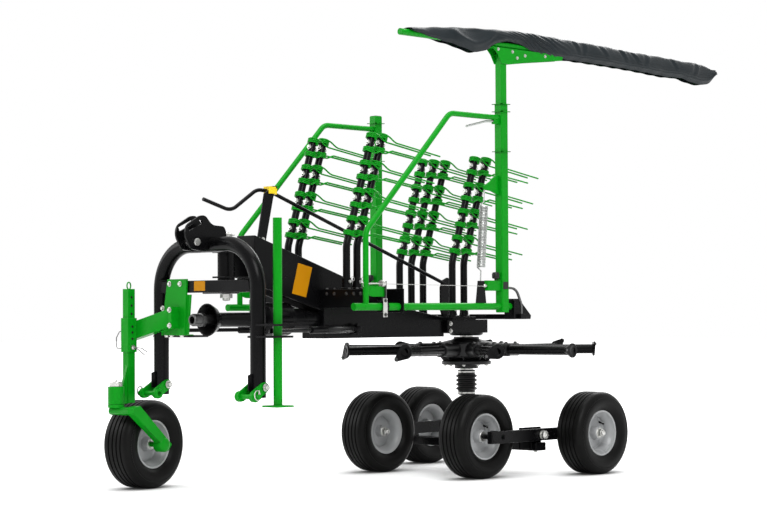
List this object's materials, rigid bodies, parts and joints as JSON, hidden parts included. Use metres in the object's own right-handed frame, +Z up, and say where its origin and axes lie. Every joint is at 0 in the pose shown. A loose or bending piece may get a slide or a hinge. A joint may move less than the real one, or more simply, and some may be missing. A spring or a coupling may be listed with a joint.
{
  "type": "single rotor hay rake",
  "caption": "Trailed rotary hay rake with walking-beam axle, castor support wheel, pivoting headstock, stowed tine arms, folding guards and windrow curtain.",
  "frame": {"origin": "on the ground under the middle of the machine outline", "axes": "+X to the machine left, +Y to the rear, +Z up; the hitch faces -Y"},
  "size_m": [1.323, 3.52, 2.1413],
  "materials": {
    "green_paint": "gloss paint",
    "black_paint": "gloss paint",
    "zinc_steel": "zinc plated",
    "tyre": "matte",
    "rim_paint": "silver paint",
    "curtain_sheet": "coated sheet",
    "cast_housing": "painted casting",
    "spring_steel": "oiled spring steel",
    "yellow_paint": "satin paint"
  },
  "bodies": {
    "chassis": {"axle_beam": "black_paint", "beam_end_frame": "black_paint", "column_bellows": "black_paint", "crank_bracket": "black_paint", "crank_holder": "yellow_paint", "drive_guard": "black_paint", "front_arm_rack": "black_paint", "front_guard_hanger": "black_paint", "gear_case": "cast_housing", "height_crank": "black_paint", "left_bogie_beam": "black_paint", "left_front_arms": "black_paint", "left_rear_arms": "black_paint", "main_beam": "black_paint", "pivot_barrel": "black_paint", "rear_arm_rack": "black_paint", "rear_guard_hanger": "black_paint", "right_bogie_beam": "black_paint", "right_front_arms": "black_paint", "right_rear_arms": "black_paint", "rotor_column": "zinc_steel", "strut_lugs": "black_paint"},
    "rotor": {"rotor_hub": "cast_housing", "rotor_stubs": "black_paint"},
    "left_front_wheel": {"left_front_tyre": "tyre", "left_front_rim": "rim_paint"},
    "right_front_wheel": {"right_front_tyre": "tyre", "right_front_rim": "rim_paint"},
    "left_rear_wheel": {"left_rear_tyre": "tyre", "left_rear_rim": "rim_paint"},
    "right_rear_wheel": {"right_rear_tyre": "tyre", "right_rear_rim": "rim_paint"},
    "headstock": {"headstock_hoop": "black_paint", "headstock_crossbar": "black_paint", "pivot_fork": "black_paint", "pivot_pin": "zinc_steel", "upper_link_plates": "black_paint", "left_lower_link_lugs": "green_paint", "right_lower_link_lugs": "green_paint", "stand_guide": "black_paint", "support_wheel_arm": "green_paint", "strut_front_pins": "zinc_steel", "strut_bracket": "black_paint"},
    "support_post": {"support_wheel_post": "green_paint"},
    "castor": {"castor_fork": "green_paint"},
    "support_wheel": {"support_wheel_tyre": "tyre", "support_wheel_rim": "rim_paint"},
    "stand": {"parking_stand": "green_paint"},
    "left_strut_barrel": {"left_strut_barrel": "black_paint"},
    "right_strut_barrel": {"right_strut_barrel": "black_paint"},
    "left_strut_rod": {"left_strut_rod": "black_paint"},
    "right_strut_rod": {"right_strut_rod": "black_paint"},
    "left_guard": {"left_guard_frame": "green_paint", "assist_spring": "spring_steel"},
    "right_guard": {"right_guard_frame": "green_paint"},
    "curtain": {"curtain_arm": "green_paint", "curtain_bar": "green_paint", "curtain": "curtain_sheet"},
    "drive": {"drive_shaft": "zinc_steel"}
  },
  "joints": [
    {"name": "rotor_spin", "type": "hinge", "parent": "chassis", "child": "rotor", "pos_m": [0, 0.19, 0.62], "axis": [0, 0, 1], "continuous": true},
    {"name": "drive_spin", "type": "hinge", "parent": "chassis", "child": "drive", "pos_m": [0, -1.644, 0.782], "axis": [0, 1, 0], "continuous": true},
    {"name": "headstock_swing", "type": "hinge", "parent": "chassis", "child": "headstock", "pos_m": [0, -1.44, 1.035], "axis": [0, 0, 1], "range_deg": [-15, 15]},
    {"name": "support_height", "type": "slide", "parent": "headstock", "child": "support_post", "axis": [0, 0, 1], "range_m": [-0.12, 0]},
    {"name": "castor_swivel", "type": "hinge", "parent": "support_post", "child": "castor", "pos_m": [-0.444, -1.722, 0.43], "axis": [0, 0, 1], "continuous": true},
    {"name": "support_wheel_spin", "type": "hinge", "parent": "castor", "child": "support_wheel", "pos_m": [-0.47372, -1.53434, 0.205], "axis": [0.9877, 0.1564, 0], "continuous": true},
    {"name": "stand_slide", "type": "slide", "parent": "headstock", "child": "stand", "axis": [0, 0, 1], "range_m": [-0.4, 0]},
    {"name": "left_front_wheel_spin", "type": "hinge", "parent": "chassis", "child": "left_front_wheel", "pos_m": [0.335, -0.114, 0.205], "axis": [1, 0, 0], "continuous": true},
    {"name": "left_rear_wheel_spin", "type": "hinge", "parent": "chassis", "child": "left_rear_wheel", "pos_m": [0.579, 0.488, 0.205], "axis": [1, 0, 0], "continuous": true},
    {"name": "left_guard_fold", "type": "hinge", "parent": "chassis", "child": "left_guard", "pos_m": [0.43, -0.024, 0.838], "axis": [0, 1, 0], "range_deg": [0, 90]},
    {"name": "right_front_wheel_spin", "type": "hinge", "parent": "chassis", "child": "right_front_wheel", "pos_m": [-0.335, -0.114, 0.205], "axis": [1, 0, 0], "continuous": true},
    {"name": "right_rear_wheel_spin", "type": "hinge", "parent": "chassis", "child": "right_rear_wheel", "pos_m": [-0.579, 0.488, 0.205], "axis": [1, 0, 0], "continuous": true},
    {"name": "right_guard_fold", "type": "hinge", "parent": "chassis", "child": "right_guard", "pos_m": [-0.43, -0.024, 0.838], "axis": [0, -1, 0], "range_deg": [0, 90]},
    {"name": "curtain_height", "type": "slide", "parent": "left_guard", "child": "curtain", "axis": [0, 0, 1], "range_m": [-0.1, 0.25]},
    {"name": "left_strut_turn", "type": "hinge", "parent": "chassis", "child": "left_strut_barrel", "pos_m": [0.1, -0.7, 0.733], "axis": [0, 0, 1], "range_deg": [-2.53, 2.53]},
    {"name": "left_strut_slide", "type": "slide", "parent": "left_strut_barrel", "child": "left_strut_rod", "axis": [0.3118, -0.9502, 0], "range_m": [-0.08541, 0.08541]},
    {"name": "right_strut_turn", "type": "hinge", "parent": "chassis", "child": "right_strut_barrel", "pos_m": [-0.1, -0.7, 0.733], "axis": [0, 0, 1], "range_deg": [-2.53, 2.53]},
    {"name": "right_strut_slide", "type": "slide", "parent": "right_strut_barrel", "child": "right_strut_rod", "axis": [-0.3118, -0.9502, 0], "range_m": [-0.08541, 0.08541]}
  ],
  "couplings": [
    {"joint": "drive_spin", "follows": "rotor_spin", "ratio": 7},
    {"joint": "left_strut_turn", "follows": "headstock_swing", "ratio": 0.16563},
    {"joint": "left_strut_slide", "follows": "headstock_swing", "m_per_rad": -0.32434},
    {"joint": "right_strut_turn", "follows": "headstock_swing", "ratio": 0.16563},
    {"joint": "right_strut_slide", "follows": "headstock_swing", "m_per_rad": 0.32434}
  ]
}
